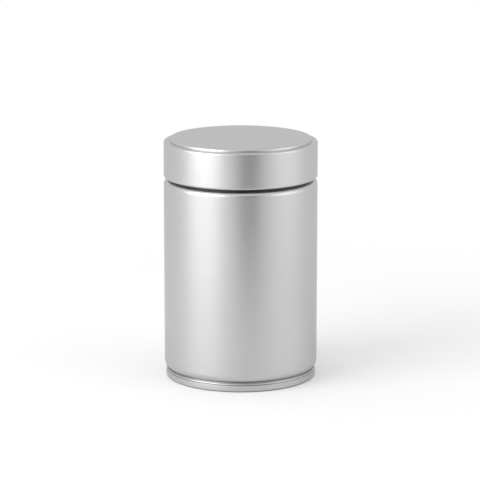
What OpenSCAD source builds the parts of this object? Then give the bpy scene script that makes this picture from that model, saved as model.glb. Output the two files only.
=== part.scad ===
// Round slip-lid tin, closed, standing on its base seam.
// Every metal piece is one sheet turned about the Z axis: a module lists the corners of the sheet's
// middle line, from one edge to the other, and sheet_profile() rounds the bends and gives it its gauge.
// Z is up, the origin is the middle of the base, and all sizes are in millimetres.

/* [Body] */
// Outside diameter of the body wall, and of the lid that stands flush over it
body_d = 68; // [60:0.5:110]
// Height of the top of the shoulder above the table
shoulder_h = 88.6; // [40:0.2:160]
// Height of the neck from the shoulder to the top of the mouth
neck_h = 17.1; // [8:0.1:30]
// Slope of the shoulder, in degrees from upright
shoulder_slope = 60; // [45:1:70]
// Bend of the shoulder, on the inside of the sheet
shoulder_bend = 1.95; // [0.5:0.05:2]
// Bend where the shoulder meets the neck, on the inside of the sheet
neck_bend = 0.25; // [0.1:0.05:0.4]
// Diameter of the rolled edge round the mouth
mouth_curl_d = 1.55; // [1:0.05:2.4]
// Gauge of the body sheet
body_gauge = 0.24; // [0.18:0.01:0.3]
// Width of the welded side joint at the back
weld_w = 1; // [0.6:0.1:2]
// How far the weld stands out of the wall on each side
weld_proud = 0.08; // [0.04:0.01:0.15]

/* [Base] */
// How far the base seam stands in from the body wall
base_inset = 0.75; // [0.5:0.05:1.5]
// Height of the base seam
seam_h = 3.75; // [3.2:0.05:4.5]
// Straight left between the seam's top fold and the pinch rolled into its outer wall below it
pinch_drop = 0.09; // [0.07:0.01:0.4]
// Depth of that pinch
pinch_depth = 0.12; // [0.05:0.01:0.16]
// How far below the pinch the body's hook ends, inside the seam
hook_drop = 0.18; // [0.1:0.02:1]
// Gauge of the base sheet
base_gauge = 0.24; // [0.18:0.01:0.3]
// Free play between the layers of the seam
seam_gap = 0.06; // [0.04:0.01:0.1]
// Thickness of the sealing compound under the body's hook
compound_t = 0.16; // [0.1:0.01:0.25]
// Height of the compound up the sides of the body's fold
compound_h = 0.95; // [0.7:0.05:1.3]
// Height of the groove between the wall and the seam, above the seam
groove_rise = 0.45; // [0.3:0.05:1]
// Slope of the wall's turn-in above the groove, in degrees from upright
turn_in_slope = 52; // [48:1:60]
// Straight left between the wide bend where the wall turns in and the tight bend at the groove
turn_in_flat = 0.25; // [0.1:0.05:1]
// Bend at the groove, on the inside of the sheet
groove_bend = 0.3; // [0.15:0.05:0.4]
// Bend at the foot of the seam, on the inside of the sheet
foot_bend = 0.28; // [0.15:0.01:0.3]
// Height of the recessed ring under the base
recess_h = 4.3; // [4.1:0.1:6]
// Depth by which the middle panel stands back down from that ring
panel_step = 0.8; // [0.5:0.1:1.5]
// Width of that ring, from the seam's inner wall to the step
ring_w = 3.6; // [1.5:0.1:12]
// Bends of the base panel, on the inside of the sheet
base_bend = 0.5; // [0.2:0.05:0.8]

/* [Lid] */
// Open gap between the lid's rolled edge and the shoulder
reveal = 1.35; // [0.6:0.05:3]
// Height of the raised panel above the lid's ledge
raised_h = 1.4; // [1.2:0.05:3]
// Width of that ledge, from the outside of the skirt to the raised panel
ledge_w = 2.55; // [2.2:0.05:12]
// Round along the raised panel's edge, on the inside of the sheet
raised_bend = 0.8; // [0.3:0.05:0.85]
// Crease at the foot of the raised panel, on the inside of the sheet
crease_bend = 0.12; // [0.06:0.02:0.2]
// Round between the ledge and the skirt, on the inside of the sheet
lid_bend = 0.65; // [0.3:0.05:0.9]
// Diameter of the rolled edge round the skirt
lid_curl_d = 1.55; // [1.45:0.05:2.4]
// Gauge of the lid sheet
lid_gauge = 0.24; // [0.18:0.01:0.3]
// Free play between the lid's rolled edge and the neck
lid_clearance = 0.1; // [0.05:0.01:0.3]
// Free play between the lid's ledge and the top of the mouth
seat_gap = 0.05; // [0.02:0.01:0.3]

/* [Hidden] */
$fn = 144;
// Largest turn of one short side of a rounded bend
bend_step = 6;
// Flat left between the two bends of a folded edge
fold_flat = 0.04;
// Play between the end of a rolled edge and the wall that it comes round to
curl_end_gap = 0.12;
// Play between the end of a hook and the fold that it hangs in
hook_end_gap = 0.22;
// Half the width of the pinch in the seam's outer wall
pinch_reach = 0.24;
// Bend of the pinch, in the middle of the sheet
pinch_bend = 0.18;
// Play from the back weld's ends to the bends above and below it
weld_end_gap = 0.3;
// Points nearer than this count as one
same_point = 0.0005;

body_r = body_d / 2;
wall_r = body_r - body_gauge / 2;
neck_r = body_r - lid_curl_d - lid_clearance;
neck_mid_r = neck_r - body_gauge / 2;
mouth_h = shoulder_h + neck_h;

// The seam's five layers, from the outside in, by the middle of each sheet
seam_r = body_r - base_inset;
layer_step = (base_gauge + body_gauge) / 2 + seam_gap;
seam_wall_r = seam_r - base_gauge / 2;
body_hook_r = seam_wall_r - layer_step;
base_hook_r = body_hook_r - layer_step;
body_foot_r = base_hook_r - layer_step;
chuck_wall_r = body_foot_r - layer_step;

base_mid_h = base_gauge / 2;
fold_top_h = seam_h - base_gauge / 2;
body_fold_h = base_gauge + compound_t + body_gauge / 2;
base_hook_h = body_fold_h + body_gauge / 2 + hook_end_gap;
fold_bend = layer_step - fold_flat / 2;
pinch_h = fold_top_h - fold_bend - pinch_drop - pinch_reach;
body_hook_h = pinch_h - pinch_reach - hook_drop;

ledge_h = mouth_h + seat_gap + lid_gauge;
skirt_r = body_r - lid_gauge / 2;
skirt_h = shoulder_h + reveal;

// Helpers for a line that runs through corners, each [radius, height, bend]

function at(p) = [p[0], p[1]];
function unit(v) = v / norm(v);
function left_of(v) = [-v[1], v[0]];
function angle_of(v) = atan2(v[1], v[0]);

// The short sides that round the corner b, on the way from a to c
function rounded(a, b, c) =
    let (
        to_a = unit(at(a) - at(b)),
        to_c = unit(at(c) - at(b)),
        half = acos(to_a * to_c) / 2,
        middle = at(b) + unit(to_a + to_c) * b[2] / sin(half),
        start = at(b) + to_a * b[2] / tan(half) - middle,
        side = cross(to_a, to_c) > 0 ? -1 : 1,
        turn = 180 - 2 * half,
        steps = ceil(turn / bend_step)
    )
    [for (i = [0:steps])
        middle + b[2] * [
            cos(angle_of(start) + side * turn * i / steps),
            sin(angle_of(start) + side * turn * i / steps)
        ]];

function distinct(line) =
    [for (i = [0:len(line) - 1]) if (i == 0 || norm(line[i] - line[i - 1]) > same_point) line[i]];

// The whole line, with its bends rounded
function line_through(corners) =
    let (last = len(corners) - 1)
    distinct([
        at(corners[0]),
        for (i = [1:last - 1]) each rounded(corners[i - 1], corners[i], corners[i + 1]),
        at(corners[last])
    ]);

// The step to the left of a line at point i that puts both faces of a sheet half its gauge away
function face_step(line, i, half_gauge) =
    let (
        last = len(line) - 1,
        before = left_of(unit(line[max(i, 1)] - line[max(i, 1) - 1])),
        after = left_of(unit(line[min(i, last - 1) + 1] - line[min(i, last - 1)])),
        across = unit(before + after)
    )
    across * half_gauge / (across * after);

// The outline of a sheet whose middle runs through the corners
function sheet_outline(corners, gauge) =
    let (line = line_through(corners), last = len(line) - 1)
    concat(
        [for (i = [0:last]) line[i] + face_step(line, i, gauge / 2)],
        [for (i = [last:-1:0]) line[i] - face_step(line, i, gauge / 2)]
    );

// Corners of an edge rolled inwards round a hollow of which d is the outside diameter.
// The roll starts at the middle radius r and the level h of its outer end, and goes up or down.
function rolled_edge(r, h, up, d, gauge) =
    let (bend = (d - gauge) / 2)
    [
        [r, h, bend],
        [r - 2 * bend, h, bend],
        [r - 2 * bend, h - up * 2 * bend, bend],
        [r - gauge - curl_end_gap, h - up * 2 * bend]
    ];

module sheet_profile(corners, gauge) {
    polygon(sheet_outline(corners, gauge));
}

// Corners of the body sheet, from the tip of its hook in the seam to the end of the mouth's roll
groove_h = seam_h + groove_rise;
groove_mid_bend = groove_bend + body_gauge / 2;
groove_tangent = groove_mid_bend * tan(turn_in_slope / 2);
turn_in_h = groove_h + (wall_r - body_foot_r) / tan(turn_in_slope);
turn_in_tangent = (wall_r - body_foot_r) / sin(turn_in_slope) - groove_tangent - turn_in_flat;
turn_in_mid_bend = turn_in_tangent / tan(turn_in_slope / 2);
shoulder_mid_bend = shoulder_bend + body_gauge / 2;
neck_mid_bend = neck_bend + body_gauge / 2;
neck_foot_h = shoulder_h - neck_mid_bend * tan(shoulder_slope / 2);
shoulder_foot_h = neck_foot_h - (wall_r - neck_mid_r) / tan(shoulder_slope);

body_corners = concat(
    [
        [body_hook_r, body_hook_h],
        [body_hook_r, body_fold_h, fold_bend],
        [body_foot_r, body_fold_h, fold_bend],
        [body_foot_r, groove_h, groove_mid_bend],
        [wall_r, turn_in_h, turn_in_mid_bend],
        [wall_r, shoulder_foot_h, shoulder_mid_bend],
        [neck_mid_r, neck_foot_h, neck_mid_bend]
    ],
    rolled_edge(neck_mid_r, mouth_h - body_gauge / 2, 1, mouth_curl_d, body_gauge)
);

// Corners of the base sheet, from its middle to the tip of its hook in the seam
base_mid_bend = base_bend + base_gauge / 2;
foot_mid_bend = foot_bend + base_gauge / 2;
panel_h = recess_h - panel_step;
step_r = chuck_wall_r - ring_w;

base_corners = [
    [0, panel_h],
    [step_r - panel_step, panel_h, base_mid_bend],
    [step_r, recess_h, base_mid_bend],
    [chuck_wall_r, recess_h, base_mid_bend],
    [chuck_wall_r, base_mid_h, foot_mid_bend],
    [seam_wall_r, base_mid_h, foot_mid_bend],
    [seam_wall_r, pinch_h - pinch_reach, pinch_bend],
    [seam_wall_r - pinch_depth, pinch_h, pinch_bend],
    [seam_wall_r, pinch_h + pinch_reach, pinch_bend],
    [seam_wall_r, fold_top_h, fold_bend],
    [base_hook_r, fold_top_h, fold_bend],
    [base_hook_r, base_hook_h]
];

// Corners of the lid sheet, from its middle to the end of the skirt's roll
raised_r = body_r - ledge_w - lid_gauge / 2;
lid_corners = concat(
    [
        [0, ledge_h + raised_h - lid_gauge / 2],
        [raised_r, ledge_h + raised_h - lid_gauge / 2, raised_bend + lid_gauge / 2],
        [raised_r, ledge_h - lid_gauge / 2, crease_bend + lid_gauge / 2],
        [skirt_r, ledge_h - lid_gauge / 2, lid_bend + lid_gauge / 2]
    ],
    rolled_edge(skirt_r, skirt_h + lid_gauge / 2, -1, lid_curl_d, lid_gauge)
);

// The lapped and welded side joint, along the straight of the wall at the back
module back_weld() {
    foot = turn_in_h + turn_in_tangent + weld_end_gap;
    head = shoulder_foot_h - shoulder_mid_bend * tan(shoulder_slope / 2) - weld_end_gap;
    sweep = weld_w / body_r * 180 / PI;
    rotate([0, 0, 90 - sweep / 2])
        rotate_extrude(angle = sweep)
            translate([wall_r - body_gauge / 2 - weld_proud, foot])
                square([body_gauge + 2 * weld_proud, head - foot]);
}

module body_wall() {
    color("silver") {
        rotate_extrude() sheet_profile(body_corners, body_gauge);
        back_weld();
    }
}

module base_end() {
    color("silver") rotate_extrude() sheet_profile(base_corners, base_gauge);
}

// Compound fills the space between the body's fold and the base sheet that wraps it
module seam_compound() {
    inner_r = chuck_wall_r + base_gauge / 2;
    outer_r = seam_wall_r - base_gauge / 2;
    color("dimgray") rotate_extrude() difference() {
        translate([inner_r, base_gauge]) square([outer_r - inner_r, compound_h - base_gauge]);
        sheet_profile(base_corners, base_gauge);
        sheet_profile(body_corners, body_gauge);
        // The space inside the fold, where the base's hook hangs
        translate([body_foot_r, body_fold_h]) square([body_hook_r - body_foot_r, compound_h]);
    }
}

module lid_cap() {
    color("gainsboro") rotate_extrude() sheet_profile(lid_corners, lid_gauge);
}

body_wall();
base_end();
seam_compound();
lid_cap();
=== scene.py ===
"""Closed round slip-lid tin in satin tinplate: fine sheet meshes, materials, studio and camera."""
import math

import bpy
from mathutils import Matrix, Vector


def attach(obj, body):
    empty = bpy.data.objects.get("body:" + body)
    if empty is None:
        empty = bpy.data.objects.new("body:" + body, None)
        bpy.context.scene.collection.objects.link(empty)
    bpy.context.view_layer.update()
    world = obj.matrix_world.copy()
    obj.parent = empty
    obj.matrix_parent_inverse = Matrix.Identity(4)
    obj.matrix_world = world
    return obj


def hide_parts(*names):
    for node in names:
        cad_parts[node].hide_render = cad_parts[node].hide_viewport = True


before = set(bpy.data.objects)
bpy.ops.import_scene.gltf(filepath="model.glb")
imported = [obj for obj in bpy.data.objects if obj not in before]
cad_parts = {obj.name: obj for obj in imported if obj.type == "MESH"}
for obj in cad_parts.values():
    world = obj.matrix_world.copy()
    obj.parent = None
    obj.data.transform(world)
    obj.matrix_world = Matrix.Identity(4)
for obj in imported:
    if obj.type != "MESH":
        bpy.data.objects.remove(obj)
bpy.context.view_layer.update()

MM = 0.001

# Sizes in millimetres and degrees, as in the part's source. Only the shoulder differs: it stands
# 0.5 mm higher here, so SHOULDER_H is 0.5 mm more, and NECK_H and REVEAL are 0.5 mm less.
BODY_D = 68.0
SHOULDER_H = 89.1
NECK_H = 16.6
SHOULDER_SLOPE = 60
SHOULDER_BEND = 1.95
NECK_BEND = 0.25
CURL_D = 1.55
GAUGE = 0.24
WELD_W = 1.0
WELD_PROUD = 0.08
WELD_END_GAP = 0.3
BASE_INSET = 0.75
SEAM_H = 3.75
PINCH_DROP = 0.09
PINCH_REACH = 0.24
PINCH_DEPTH = 0.12
PINCH_BEND = 0.18
HOOK_DROP = 0.18
HOOK_END_GAP = 0.22
SEAM_GAP = 0.06
COMPOUND_T = 0.16
GROOVE_RISE = 0.45
TURN_IN_SLOPE = 52
TURN_IN_FLAT = 0.25
GROOVE_BEND = 0.3
FOOT_BEND = 0.28
RECESS_H = 4.3
PANEL_STEP = 0.8
RING_W = 3.6
BASE_BEND = 0.5
REVEAL = 0.85
RAISED_H = 1.4
LEDGE_W = 2.55
RAISED_BEND = 0.8
CREASE_BEND = 0.12
LID_BEND = 0.65
LID_CLEARANCE = 0.1
SEAT_GAP = 0.05
FOLD_FLAT = 0.04
CURL_END_GAP = 0.12

# How finely the sheets are meshed: sides of the turn, degrees and millimetres
TURN_SIDES = 192
BEND_STEP = 6
BEND_MARGIN = 0.04
LONG_STEP = 6.0
SAME_POINT = 0.0005
ON_AXIS_R = 0.001
SHARP_ANGLE = 40

# What follows from the sizes. Every radius but BODY_R is that of a sheet's middle line.
BODY_R = BODY_D / 2
HALF = GAUGE / 2
WALL_R = BODY_R - HALF
NECK_R = BODY_R - CURL_D - LID_CLEARANCE - HALF
MOUTH_H = SHOULDER_H + NECK_H
LAYER = GAUGE + SEAM_GAP
SEAM_R = BODY_R - BASE_INSET - HALF
BODY_HOOK_R = SEAM_R - LAYER
BASE_HOOK_R = SEAM_R - 2 * LAYER
FOOT_R = SEAM_R - 3 * LAYER
CHUCK_R = SEAM_R - 4 * LAYER
FOLD_TOP_H = SEAM_H - HALF
FOLD_H = GAUGE + COMPOUND_T + HALF
FOLD_BEND = LAYER - FOLD_FLAT / 2
PINCH_H = FOLD_TOP_H - FOLD_BEND - PINCH_DROP - PINCH_REACH
LEDGE_H = MOUTH_H + SEAT_GAP + GAUGE
SKIRT_H = SHOULDER_H + REVEAL


def tan(degrees):
    return math.tan(math.radians(degrees))


# Outlines of the sheets

def rounded(a, b, c):
    """The points that round the corner b = (radius, height, bend), on the way from a to c."""
    here = Vector(b[:2])
    to_a = (Vector(a[:2]) - here).normalized()
    to_c = (Vector(c[:2]) - here).normalized()
    half = to_a.angle(to_c) / 2
    middle = here + (to_a + to_c).normalized() * b[2] / math.sin(half)
    start = here + to_a * b[2] / math.tan(half) - middle
    turn = math.pi - 2 * half
    side = -1 if to_a.x * to_c.y - to_a.y * to_c.x > 0 else 1
    first = math.atan2(start.y, start.x)
    steps = max(2, math.ceil(math.degrees(turn) / BEND_STEP))
    angles = [first + side * turn * i / steps for i in range(steps + 1)]
    return [middle + b[2] * Vector((math.cos(t), math.sin(t))) for t in angles]


def straight(a, b):
    """Points from a to b: one near each end, so that flats shade flat, and more on a long wall."""
    length = (b - a).length
    if length < 3 * BEND_MARGIN:
        return []
    parts = max(1, math.ceil(length / LONG_STEP))
    near = BEND_MARGIN / length
    shares = [near] + [i / parts for i in range(1, parts)] + [1 - near]
    return [a.lerp(b, share) for share in shares]


def middle_line(corners):
    """The middle line of a sheet through its corners, with its bends rounded."""
    knots = [[Vector(corners[0][:2])]]
    for i in range(1, len(corners) - 1):
        knots.append(rounded(corners[i - 1], corners[i], corners[i + 1]))
    knots.append([Vector(corners[-1][:2])])
    line = []
    for here, after in zip(knots, knots[1:]):
        line += here + straight(here[-1], after[0])
    line += knots[-1]
    return [p for i, p in enumerate(line) if i == 0 or (p - line[i - 1]).length > SAME_POINT]


def sheet_outline(corners):
    """Both faces of the sheet, half its gauge away from its middle line."""
    line = middle_line(corners)
    last = len(line) - 1
    steps = []
    for i in range(last + 1):
        before = (line[max(i, 1)] - line[max(i, 1) - 1]).normalized()
        after = (line[min(i, last - 1) + 1] - line[min(i, last - 1)]).normalized()
        left_before = Vector((-before.y, before.x))
        left_after = Vector((-after.y, after.x))
        across = (left_before + left_after).normalized()
        steps.append(across * HALF / across.dot(left_after))
    one_face = [p + s for p, s in zip(line, steps)]
    other_face = [p - s for p, s in zip(line, steps)]
    return one_face + other_face[::-1]


def rolled_edge(r, h, up):
    """The corners of an edge that rolls inwards from (r, h). up is 1 at a top edge, else -1."""
    bend = (CURL_D - GAUGE) / 2
    return [
        (r, h, bend),
        (r - 2 * bend, h, bend),
        (r - 2 * bend, h - up * 2 * bend, bend),
        (r - GAUGE - CURL_END_GAP, h - up * 2 * bend),
    ]


# Corners of the sheets' middle lines: radius, height and bend

GROOVE_H = SEAM_H + GROOVE_RISE
GROOVE_TANGENT = (GROOVE_BEND + HALF) * tan(TURN_IN_SLOPE / 2)
TURN_IN_H = GROOVE_H + (WALL_R - FOOT_R) / tan(TURN_IN_SLOPE)
TURN_IN_LENGTH = (WALL_R - FOOT_R) / math.sin(math.radians(TURN_IN_SLOPE))
TURN_IN_TANGENT = TURN_IN_LENGTH - GROOVE_TANGENT - TURN_IN_FLAT
NECK_FOOT_H = SHOULDER_H - (NECK_BEND + HALF) * tan(SHOULDER_SLOPE / 2)
SHOULDER_FOOT_H = NECK_FOOT_H - (WALL_R - NECK_R) / tan(SHOULDER_SLOPE)
STEP_R = CHUCK_R - RING_W
PANEL_H = RECESS_H - PANEL_STEP
RAISED_R = BODY_R - LEDGE_W - HALF
TOP_H = LEDGE_H + RAISED_H - HALF

BODY_CORNERS = [
    (BODY_HOOK_R, PINCH_H - PINCH_REACH - HOOK_DROP),
    (BODY_HOOK_R, FOLD_H, FOLD_BEND),
    (FOOT_R, FOLD_H, FOLD_BEND),
    (FOOT_R, GROOVE_H, GROOVE_BEND + HALF),
    (WALL_R, TURN_IN_H, TURN_IN_TANGENT / tan(TURN_IN_SLOPE / 2)),
    (WALL_R, SHOULDER_FOOT_H, SHOULDER_BEND + HALF),
    (NECK_R, NECK_FOOT_H, NECK_BEND + HALF),
] + rolled_edge(NECK_R, MOUTH_H - HALF, 1)

BASE_CORNERS = [
    (0, PANEL_H),
    (STEP_R - PANEL_STEP, PANEL_H, BASE_BEND + HALF),
    (STEP_R, RECESS_H, BASE_BEND + HALF),
    (CHUCK_R, RECESS_H, BASE_BEND + HALF),
    (CHUCK_R, HALF, FOOT_BEND + HALF),
    (SEAM_R, HALF, FOOT_BEND + HALF),
    (SEAM_R, PINCH_H - PINCH_REACH, PINCH_BEND),
    (SEAM_R - PINCH_DEPTH, PINCH_H, PINCH_BEND),
    (SEAM_R, PINCH_H + PINCH_REACH, PINCH_BEND),
    (SEAM_R, FOLD_TOP_H, FOLD_BEND),
    (BASE_HOOK_R, FOLD_TOP_H, FOLD_BEND),
    (BASE_HOOK_R, FOLD_H + HALF + HOOK_END_GAP),
]

LID_CORNERS = [
    (0, TOP_H),
    (RAISED_R, TOP_H, RAISED_BEND + HALF),
    (RAISED_R, LEDGE_H - HALF, CREASE_BEND + HALF),
    (WALL_R, LEDGE_H - HALF, LID_BEND + HALF),
] + rolled_edge(WALL_R, SKIRT_H + HALF, -1)


# Meshes

# The weld at the back: where it lies and how it fades out, in degrees of turn and millimetres
WELD_TURN = math.degrees(WELD_W / BODY_R)
WELD_SOFT_TURN = 0.35
WELD_SOFT_H = 0.4
WELD_AT = 90
WELD_RIPPLE = 0.12
WELD_RIPPLE_H = 1.3
WELD_FOOT = TURN_IN_H + TURN_IN_TANGENT + WELD_END_GAP
WELD_HEAD = SHOULDER_FOOT_H - (SHOULDER_BEND + HALF) * tan(SHOULDER_SLOPE / 2) - WELD_END_GAP


def smooth_step(x):
    x = min(1.0, max(0.0, x))
    return x * x * (3 - 2 * x)


def weld_height(turn, z):
    """How much of the weld's height stands at this turn from the back and this height."""
    across = smooth_step((WELD_TURN / 2 - abs(turn)) / WELD_SOFT_TURN)
    along = smooth_step((z - WELD_FOOT) / WELD_SOFT_H) * smooth_step((WELD_HEAD - z) / WELD_SOFT_H)
    ripple = 1 - WELD_RIPPLE + WELD_RIPPLE * math.cos(z * math.tau / WELD_RIPPLE_H)
    return across * along * ripple


def turned(name, outline, weld=False):
    """The closed outline turned about Z. A point on the axis gives one vertex, others a ring."""
    turns = [i * 360 / TURN_SIDES for i in range(TURN_SIDES)]
    if weld:
        edge = WELD_TURN / 2
        extra = [edge, edge - WELD_SOFT_TURN / 2, edge - WELD_SOFT_TURN]
        turns += [WELD_AT + s * e for e in extra for s in (-1, 1)]
        turns.sort()
    vertices, rings = [], []
    for p in outline:
        if p.x < ON_AXIS_R:
            rings.append([len(vertices)])
            vertices.append((0, 0, p.y * MM))
            continue
        ring = []
        for turn in turns:
            r = p.x
            if weld and abs(p.x - WALL_R) < GAUGE:
                out = 1 if p.x > WALL_R else -1
                r += out * WELD_PROUD * weld_height(turn - WELD_AT, p.y)
            t = math.radians(turn)
            ring.append(len(vertices))
            vertices.append((r * MM * math.cos(t), r * MM * math.sin(t), p.y * MM))
        rings.append(ring)
    faces = []
    count = len(turns)
    for here, after in zip(rings, rings[1:] + rings[:1]):
        for i in range(count):
            j = (i + 1) % count
            if len(here) == 1 and len(after) == 1:
                break
            if len(here) == 1:
                faces.append((here[0], after[j], after[i]))
            elif len(after) == 1:
                faces.append((here[i], here[j], after[0]))
            else:
                faces.append((here[i], here[j], after[j], after[i]))
    mesh = bpy.data.meshes.new(name)
    mesh.from_pydata(vertices, [], faces)
    mesh.validate()
    mesh.shade_smooth()
    mesh.set_sharp_from_angle(angle=math.radians(SHARP_ANGLE))
    piece = bpy.data.objects.new(name, mesh)
    bpy.context.scene.collection.objects.link(piece)
    return piece


# Materials

# Noises: waves to the metre along x, y and z, and detail
GRAIN = ((90, 90, 5200), 3.0)
PITS = ((2600, 2600, 2600), 2.0)
CLOUDS = ((34, 34, 34), 3.0)
PATCHES = ((420, 420, 420), 3.0)
LUMPS = ((900, 900, 900), 4.0)

# Tinplate: its grey, its roughness, and how much darker it mirrors at a glancing angle
TONE = 0.56
BASE_TONE = TONE * 0.98
SATIN = 0.37
EDGE_TINT = 0.89

# What changes its grey. A tone multiplies it, a share is how much of the change shows, and
# a warmth is the share of blue that goes.
CLOUDING = 0.015
CLOUD_WARMTH = 0.004
CLOUD_SHARE = 0.6
CLOUD_RISE = (0.3, 0.7)
PATCH_RISE = (0.42, 0.62)
RUBBED_TONE = 1.08
RUBBED_SHARE = 0.5
WELD_TONE = 0.8
WELD_SHARE = 0.4
WELD_WARMTH = 0.03
INSIDE_GREY = 0.82
INSIDE_WARMTH = 0.02
# Near-black grey of the painted shade in gaps and creases
PAINTED_SHADE_GREY = 0.01

# What changes its roughness, and the strength, height in metres and grain share of its relief
GRAIN_ROUGHNESS = 0.05
CLOUD_ROUGHNESS = 0.04
RUBBED_SHINE = 0.05
WELD_ROUGHNESS = 0.06
RELIEF = 0.12
RELIEF_H = 0.00001
RELIEF_GRAIN = 0.6

# The share of a band that has its full strength
RUBBED_SOLID = 0.5
# Painted shade bands, along the height and across the radius
PAINTED_SHADE_SOLID_H = 0.7
PAINTED_SHADE_SOLID_R = 0.8

# Where the weld's dull strip ends and is whole, in metres, and the bright inside, in millimetres
WELD_STRIP = (0.0026, 0.0016)
WELD_SIDE = (0.0, 0.002)
INSIDE_FOOT_H = (9, 10)
INSIDE_HEAD_H = (SHOULDER_FOOT_H - 2, SHOULDER_FOOT_H - 3)

# Bands rubbed bright: lowest and highest millimetre
BODY_WORN = [(SHOULDER_FOOT_H, SHOULDER_H), (MOUTH_H - 0.5, MOUTH_H + 0.1)]
BASE_WORN = [(-0.3, 0.4), (3.3, 3.9)]
LID_WORN = [(SKIRT_H - 0.1, SKIRT_H + 0.9), (LEDGE_H - 0.9, LEDGE_H)]

# Bands of painted shade, darker where shade falls: lowest and highest millimetre, inner and outer
# radius, and strength
# Painted shade on the neck, in the gap under the lid's rolled edge
NECK_PAINTED_SHADE = (SHOULDER_H - 0.25, SKIRT_H + 0.1, NECK_R, NECK_R + 0.55, 0.95)
# Painted shade in the crease of the seam's pinch
PINCH_PAINTED_SHADE = (
    PINCH_H - PINCH_REACH,
    PINCH_H + PINCH_REACH,
    SEAM_R - HALF,
    SEAM_R + HALF - 0.02,
    0.8,
)
# Painted shade round the foot, where the tin stands on the table
FOOT_PAINTED_SHADE = (-0.5, 0.5, SEAM_R - 0.6, SEAM_R + HALF + 0.1, 0.6)

# Sealing compound
COMPOUND_GREYS = (0.11, 0.19)
COMPOUND_WARMTH = 0.06
COMPOUND_ROUGHNESS = (0.62, 0.82)
LUMP_RELIEF = 0.4
LUMP_H = 0.00004


class Value:
    """A number that varies over a surface, for use in plain Python sums."""

    def __init__(self, graph, socket):
        self.graph = graph
        self.socket = socket

    def math(self, operation, *numbers):
        made = self.graph.node("Math", {"operation": operation}, dict(enumerate(numbers)))
        return Value(self.graph, made.outputs[0])

    def __add__(self, other):
        return self.math("ADD", self, other)

    def __sub__(self, other):
        return self.math("SUBTRACT", self, other)

    def __mul__(self, other):
        return self.math("MULTIPLY", self, other)

    def __truediv__(self, other):
        return self.math("DIVIDE", self, other)

    def __radd__(self, other):
        return self.math("ADD", other, self)

    def __rsub__(self, other):
        return self.math("SUBTRACT", other, self)

    def __rmul__(self, other):
        return self.math("MULTIPLY", other, self)

    def __rtruediv__(self, other):
        return self.math("DIVIDE", other, self)

    def __abs__(self):
        return self.math("ABSOLUTE", self)

    def root(self):
        return self.math("SQRT", self)

    def larger(self, other):
        return self.math("MAXIMUM", self, other)

    def rise(self, low, high):
        """0 up to low, 1 from high on, and a smooth rise between. A fall has low above high."""
        made = self.graph.node(
            "MapRange",
            {"interpolation_type": "SMOOTHSTEP"},
            {"Value": self, "From Min": low, "From Max": high},
        )
        return Value(self.graph, made.outputs[0])

    def band(self, low, high, solid):
        """1 in the middle of low to high, in millimetres, over the solid share of it. 0 outside."""
        middle, reach = (low + high) / 2 * MM, (high - low) / 2 * MM
        return abs(self - middle).rise(reach, reach * solid)


class Graph:
    """The nodes of one material or world."""

    def __init__(self, owner):
        owner.use_nodes = True
        self.tree = owner.node_tree
        self.tree.nodes.clear()

    def node(self, kind, settings=None, sockets=None):
        made = self.tree.nodes.new("ShaderNode" + kind)
        for name, setting in (settings or {}).items():
            setattr(made, name, setting)
        for name, given in (sockets or {}).items():
            if isinstance(given, Value):
                given = given.socket
            if isinstance(given, bpy.types.NodeSocket):
                self.tree.links.new(given, made.inputs[name])
            else:
                made.inputs[name].default_value = given
        return made

    def place(self):
        """Where a point lies, in metres, and its x, y and z."""
        where = self.node("TexCoord").outputs["Object"]
        apart = self.node("SeparateXYZ", None, {"Vector": where})
        return where, [Value(self, apart.outputs[i]) for i in range(3)]

    def noise(self, where, stretch, detail):
        """Noise from 0 to 1 with that many waves to the metre along x, y and z."""
        scaled = self.node("VectorMath", {"operation": "MULTIPLY"}, {0: where, 1: stretch})
        sockets = {"Vector": scaled.outputs[0], "Scale": 1.0, "Detail": detail}
        made = self.node("TexNoise", None, sockets)
        return Value(self, made.outputs["Fac"])

    def mix(self, share, first, second):
        made = self.node("Mix", {"data_type": "RGBA"}, {0: share, 6: first, 7: second})
        return made.outputs[2]

    def finish(self, shader, kind="OutputMaterial"):
        self.node(kind, None, {"Surface": shader.outputs[0]})


def grey(level, warm=0.0):
    return (level, level, level * (1 - warm), 1)


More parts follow.
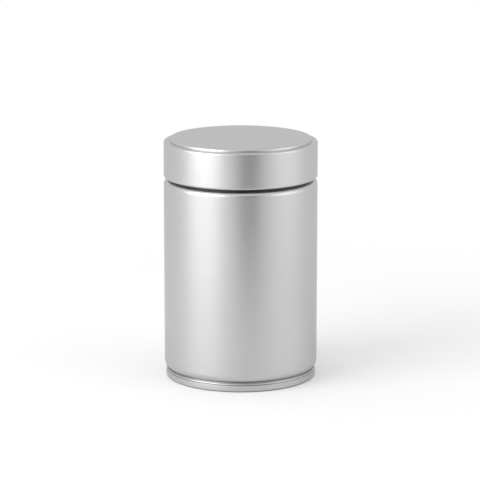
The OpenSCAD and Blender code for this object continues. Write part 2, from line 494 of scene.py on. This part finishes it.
def tinplate(name, tone, worn, painted_shade_bands=(), weld=False, bright_inside=False):
    """Satin tinplate: grain round the tin, cloudy lacquer, rubbed edges, painted shade and a dull
    weld.
    """
    material = bpy.data.materials.new(name)
    graph = Graph(material)
    where, (x, y, z) = graph.place()
    out = (x * x + y * y).root()
    grain = graph.noise(where, *GRAIN)
    pits = graph.noise(where, *PITS)
    clouds = graph.noise(where, *CLOUDS)
    patches = graph.noise(where, *PATCHES).rise(*PATCH_RISE)
    rubbed = sum(z.band(low, high, RUBBED_SOLID) for low, high in worn) * patches
    dull = abs(x).rise(*WELD_STRIP) * y.rise(*WELD_SIDE) if weld else 0
    # Painted shade: darkening where shade falls in the lid's gap, the seam's crease and at the foot
    painted_shade_mask = sum(
        z.band(low, high, PAINTED_SHADE_SOLID_H) * out.band(inner, outer, PAINTED_SHADE_SOLID_R) * strength
        for low, high, inner, outer, strength in painted_shade_bands
    )

    shade = clouds * CLOUD_SHARE + grain * (1 - CLOUD_SHARE)
    darker, lighter = tone * (1 - CLOUDING), tone * (1 + CLOUDING)
    colour = graph.mix(shade.rise(*CLOUD_RISE), grey(darker, CLOUD_WARMTH), grey(lighter))
    colour = graph.mix(rubbed * RUBBED_SHARE, colour, grey(tone * RUBBED_TONE))
    colour = graph.mix(dull * WELD_SHARE, colour, grey(tone * WELD_TONE, WELD_WARMTH))
    if bright_inside:
        wall = out.rise(WALL_R * MM, (WALL_R - HALF) * MM)
        for edge in (INSIDE_FOOT_H, INSIDE_HEAD_H):
            wall = wall * z.rise(edge[0] * MM, edge[1] * MM)
        neck = out.rise(NECK_R * MM, (NECK_R - HALF) * MM)
        colour = graph.mix(wall.larger(neck), colour, grey(INSIDE_GREY, INSIDE_WARMTH))
    # The painted shade turns the grey near black
    colour = graph.mix(painted_shade_mask, colour, grey(PAINTED_SHADE_GREY))

    roughness = SATIN + (grain - 0.5) * GRAIN_ROUGHNESS + (clouds - 0.5) * CLOUD_ROUGHNESS
    roughness = roughness - rubbed * RUBBED_SHINE + dull * WELD_ROUGHNESS
    height = grain * RELIEF_GRAIN + pits * (1 - RELIEF_GRAIN)
    relief = graph.node("Bump", None, {"Strength": RELIEF, "Distance": RELIEF_H, "Height": height})
    metal = graph.node(
        "BsdfPrincipled",
        None,
        {
            "Base Color": colour,
            "Metallic": 1.0,
            "Roughness": roughness,
            "Specular Tint": grey(EDGE_TINT),
            "Normal": relief.outputs[0],
        },
    )
    graph.finish(metal)
    return material


def sealing_compound(name):
    """Matt cured rubber, a little uneven."""
    material = bpy.data.materials.new(name)
    graph = Graph(material)
    where, _ = graph.place()
    lumps = graph.noise(where, *LUMPS)
    dark, light = (grey(level, COMPOUND_WARMTH) for level in COMPOUND_GREYS)
    least, most = COMPOUND_ROUGHNESS
    uneven = {"Strength": LUMP_RELIEF, "Distance": LUMP_H, "Height": lumps}
    relief = graph.node("Bump", None, uneven)
    rubber = graph.node(
        "BsdfPrincipled",
        None,
        {
            "Base Color": graph.mix(lumps, dark, light),
            "Roughness": least + lumps * (most - least),
            "Normal": relief.outputs[0],
        },
    )
    graph.finish(rubber)
    return material


# Studio, in metres and degrees

FLOOR_R = 0.32
FLOOR_SIDES = 96
FLOOR_DROP = 0.00003
FLOOR_TONE = 0.87
FLOOR_LIFT = 0.06
FLOOR_FADE = (FLOOR_R * 0.45, FLOOR_R * 0.97)
ROOM_LIGHT = 0.88
CAMERA_AT = (-0.00029, -1.116, 0.3018)
CAMERA_DOWN = 12.18
CAMERA_LENS = 192.75
CAMERA_SENSOR_W = 36


def towards(turn, distance, height):
    """A place at that turn from the camera's side of the tin, positive to the right, in degrees."""
    t = math.radians(turn)
    return Vector((distance * math.sin(t), -distance * math.cos(t), height))


def faced(thing, place):
    """Puts a lamp or card at a place, upright, with its face to the tin."""
    thing.location = place
    level = Vector((place.x, place.y, 0))
    thing.rotation_euler = level.to_track_quat("Z", "Y").to_euler()


def softbox(name, turn, distance, height, width, tall, radiance):
    """An upright rectangle of light that the camera doesn't see."""
    lamp = bpy.data.lights.new(name, "AREA")
    lamp.shape = "RECTANGLE"
    lamp.size = width
    lamp.size_y = tall
    lamp.energy = radiance * math.pi * width * tall
    thing = bpy.data.objects.new(name, lamp)
    bpy.context.scene.collection.objects.link(thing)
    faced(thing, towards(turn, distance, height))
    thing.visible_camera = False


def stage_mesh(name, vertices, faces):
    mesh = bpy.data.meshes.new(name)
    mesh.from_pydata(vertices, [], faces)
    thing = bpy.data.objects.new(name, mesh)
    bpy.context.scene.collection.objects.link(thing)
    return thing


def black_card(name, turn, distance, height, width, tall, tone):
    """A dark card that the metal mirrors. The camera doesn't see it."""
    w, h = width / 2, tall / 2
    card = stage_mesh(name, [(-w, -h, 0), (w, -h, 0), (w, h, 0), (-w, h, 0)], [(0, 1, 2, 3)])
    faced(card, towards(turn, distance, height))
    card.visible_camera = False
    card.visible_shadow = False
    material = bpy.data.materials.new(name)
    graph = Graph(material)
    graph.finish(graph.node("Emission", None, {"Color": grey(tone)}))
    card.data.materials.append(material)


def floor():
    """A round white table top that keeps the tin's shadow and fades into the white room."""
    turns = [i * math.tau / FLOOR_SIDES for i in range(FLOOR_SIDES)]
    rim = [(FLOOR_R * math.cos(t), FLOOR_R * math.sin(t), 0) for t in turns]
    disc = stage_mesh("table_top", rim, [tuple(range(FLOOR_SIDES))])
    disc.location.z = -FLOOR_DROP
    material = bpy.data.materials.new("white_table")
    graph = Graph(material)
    _, (x, y, _) = graph.place()
    away = (x * x + y * y).root()
    seen = Value(graph, graph.node("LightPath").outputs["Is Camera Ray"])
    paper = graph.node("BsdfDiffuse", None, {"Color": grey(FLOOR_TONE)})
    lift = graph.node("Emission", None, {"Color": grey(FLOOR_LIFT)})
    both = graph.node("AddShader", None, {0: paper.outputs[0], 1: lift.outputs[0]})
    near = graph.node("MixShader", None, {0: seen, 1: paper.outputs[0], 2: both.outputs[0]})
    white = graph.node("Emission", None, {"Color": grey(1.0)})
    fade = seen * away.rise(*FLOOR_FADE)
    graph.finish(graph.node("MixShader", None, {0: fade, 1: near.outputs[0], 2: white.outputs[0]}))
    disc.data.materials.append(material)


def room():
    """A white room, a little dimmer as a light than as the camera sees it."""
    world = bpy.data.worlds.new("white_room")
    bpy.context.scene.world = world
    graph = Graph(world)
    seen = Value(graph, graph.node("LightPath").outputs["Is Camera Ray"])
    light = graph.node("Background", None, {"Color": grey(1.0), "Strength": ROOM_LIGHT})
    white = graph.node("Background", None, {"Color": grey(1.0), "Strength": 1.0})
    both = graph.node("MixShader", None, {0: seen, 1: light.outputs[0], 2: white.outputs[0]})
    graph.finish(both, "OutputWorld")


def camera():
    lens = bpy.data.cameras.new("camera")
    lens.lens = CAMERA_LENS
    lens.sensor_width = CAMERA_SENSOR_W
    thing = bpy.data.objects.new("camera", lens)
    bpy.context.scene.collection.objects.link(thing)
    thing.location = CAMERA_AT
    thing.rotation_euler = (math.radians(90 - CAMERA_DOWN), 0, 0)
    bpy.context.scene.camera = thing


# The tin

def dress(piece, material, node, body):
    piece.data.materials.append(material)
    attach(piece, body)
    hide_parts(node)


body = turned("body_sheet", sheet_outline(BODY_CORNERS), weld=True)
# The body's neck gets painted shade in the gap under the lid's edge
body_metal = tinplate("body_tinplate", TONE, BODY_WORN, [NECK_PAINTED_SHADE], weld=True, bright_inside=True)
dress(body, body_metal, "body_wall", "tin")

base = turned("base_sheet", sheet_outline(BASE_CORNERS))
# The base gets painted shade in the seam's crease and round its foot
base_metal = tinplate("base_tinplate", BASE_TONE, BASE_WORN, [PINCH_PAINTED_SHADE, FOOT_PAINTED_SHADE])
dress(base, base_metal, "base_end", "tin")

lid = turned("lid_sheet", sheet_outline(LID_CORNERS))
lid_metal = tinplate("lid_tinplate", TONE, LID_WORN)
dress(lid, lid_metal, "lid_cap", "lid")

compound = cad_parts["seam_compound"]
compound.data.materials.clear()
compound.data.materials.append(sealing_compound("compound"))

room()
floor()
softbox("left_softbox", turn=-55, distance=0.95, height=0.48, width=0.86, tall=0.96, radiance=3.1)
softbox("right_softbox", turn=72, distance=1.0, height=0.38, width=0.8, tall=0.8, radiance=1.0)
black_card("front_card", turn=12, distance=0.75, height=0.05, width=0.42, tall=0.8, tone=0.12)
camera()
bpy.context.scene.view_settings.view_transform = "Standard"
